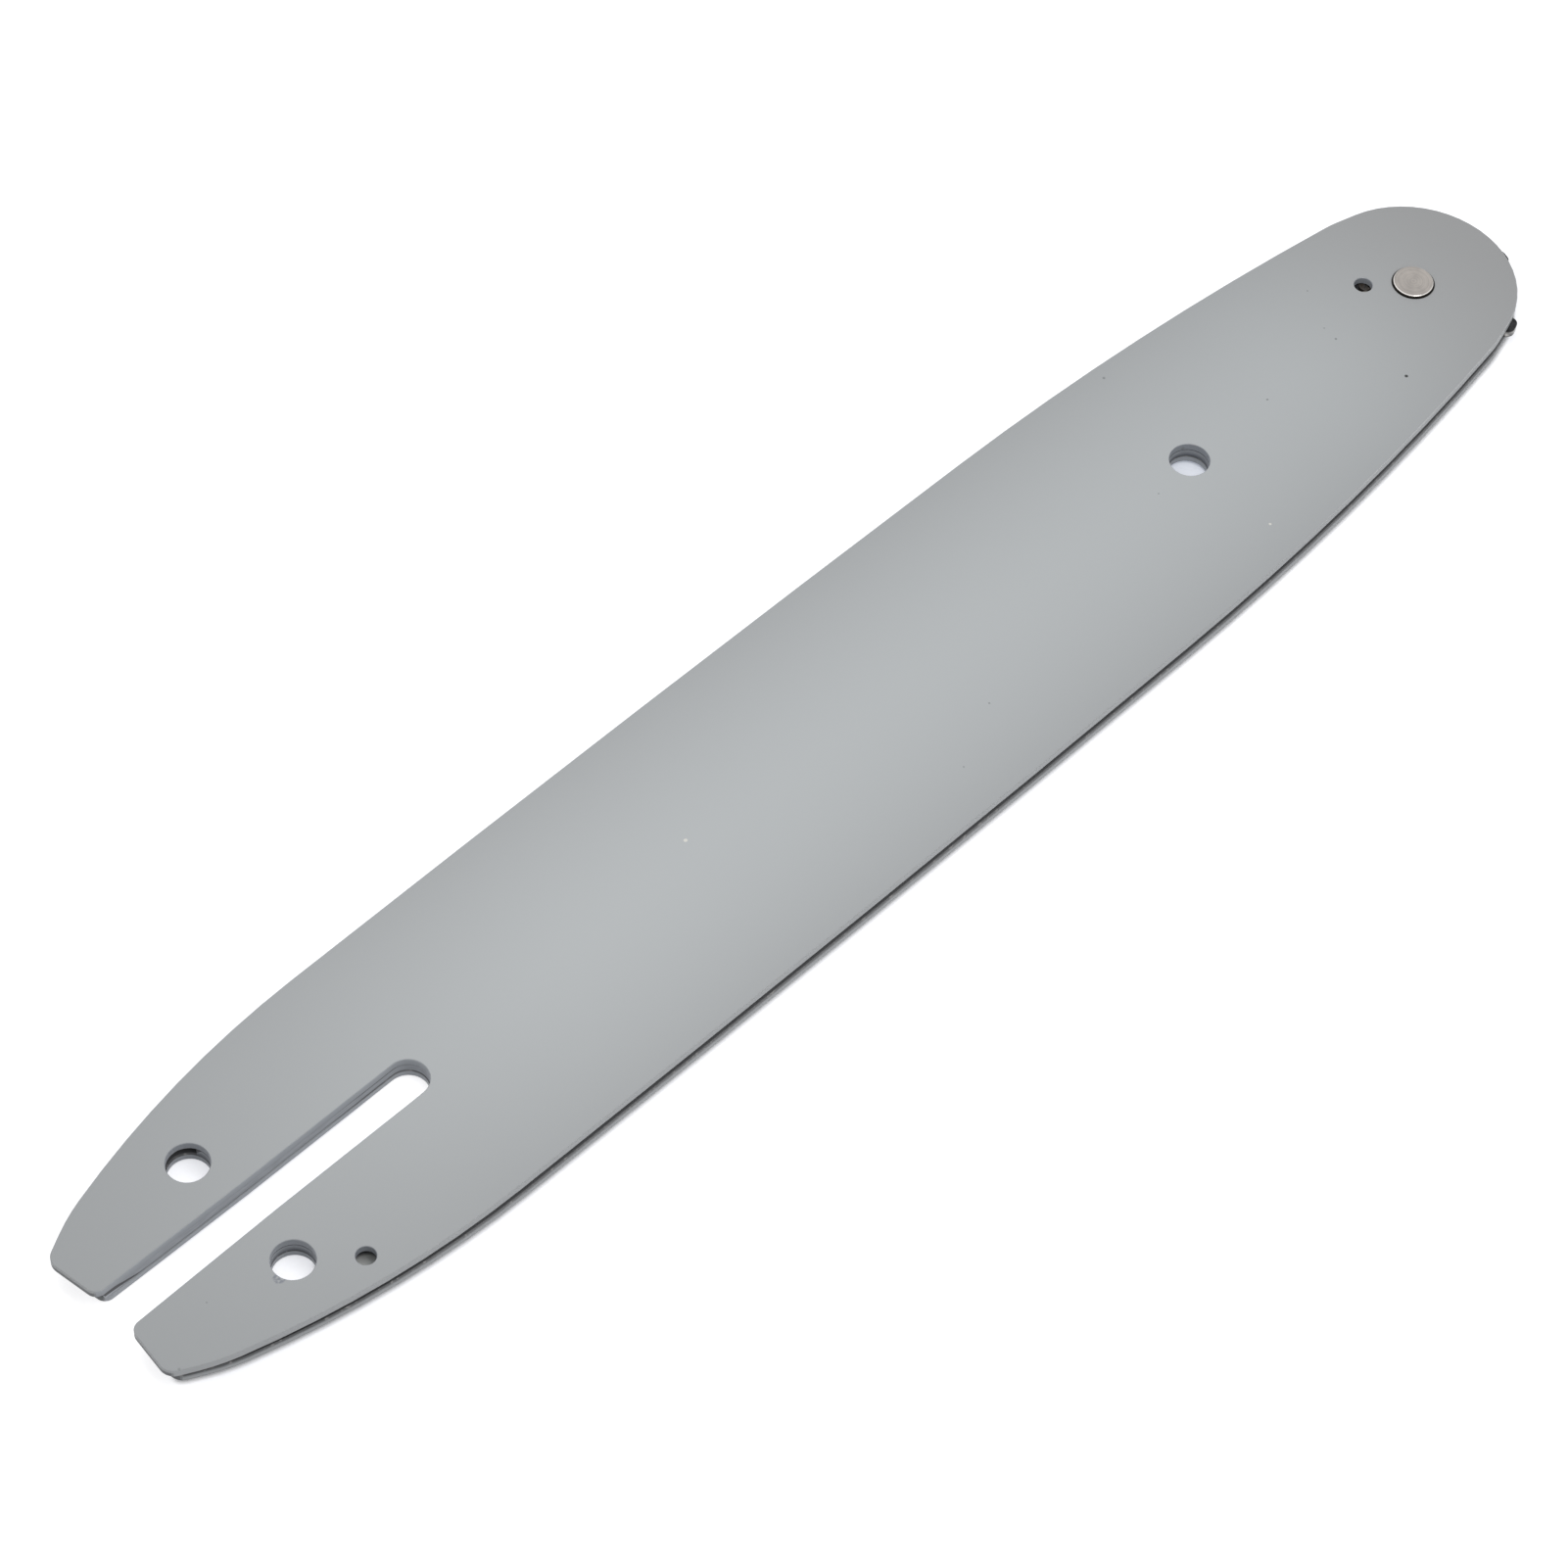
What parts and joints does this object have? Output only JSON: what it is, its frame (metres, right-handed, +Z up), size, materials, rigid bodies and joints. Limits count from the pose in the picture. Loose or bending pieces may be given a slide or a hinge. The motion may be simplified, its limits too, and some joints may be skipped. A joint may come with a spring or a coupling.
{
  "type": "chainsaw guide bar",
  "caption": "Laminated sprocket-nose guide bar for a small chainsaw: grooved flat blade with an open stud slot, chain adjuster holes, hang hole, and a toothed star on rollers in the nose",
  "frame": {"origin": "middle of the bar's length and width, on the ground plane that touches the lower face of the nose rivet", "axes": "+X along the bar towards the sprocket nose, +Y across the bar, +Z up through its thickness"},
  "size_m": [0.2766, 0.046, 0.0048],
  "materials": {
    "plate_paint": "satin light-grey paint",
    "core_paint": "thin grey paint over sheared steel",
    "rivet_steel": "ground flat, bare",
    "star_steel": "dark hardened steel",
    "bearing_steel": "ground and greased"
  },
  "bodies": {
    "bar": {"upper_side_plate": "plate_paint", "lower_side_plate": "plate_paint", "core_plate": "core_paint", "nose_rivet": "rivet_steel", "bearing_race": "bearing_steel"},
    "star": {"nose_sprocket": "star_steel"},
    "roller_ring": {"roller_01": "bearing_steel", "roller_02": "bearing_steel", "roller_03": "bearing_steel", "roller_04": "bearing_steel", "roller_05": "bearing_steel", "roller_06": "bearing_steel", "roller_07": "bearing_steel", "roller_08": "bearing_steel", "roller_09": "bearing_steel", "roller_10": "bearing_steel", "roller_11": "bearing_steel", "roller_12": "bearing_steel", "roller_13": "bearing_steel", "roller_14": "bearing_steel", "roller_15": "bearing_steel", "roller_16": "bearing_steel", "roller_17": "bearing_steel", "roller_18": "bearing_steel", "roller_19": "bearing_steel", "roller_20": "bearing_steel", "roller_21": "bearing_steel", "roller_22": "bearing_steel"}
  },
  "joints": [
    {"name": "star_spin", "type": "hinge", "parent": "bar", "child": "star", "pos_m": [0.12218, 0, 0.0024], "axis": [0, 0, 1], "continuous": true},
    {"name": "roller_orbit", "type": "hinge", "parent": "bar", "child": "roller_ring", "pos_m": [0.12218, 0, 0.0024], "axis": [0, 0, 1], "continuous": true}
  ],
  "couplings": [
    {"joint": "roller_orbit", "follows": "star_spin", "ratio": 0.5716}
  ]
}
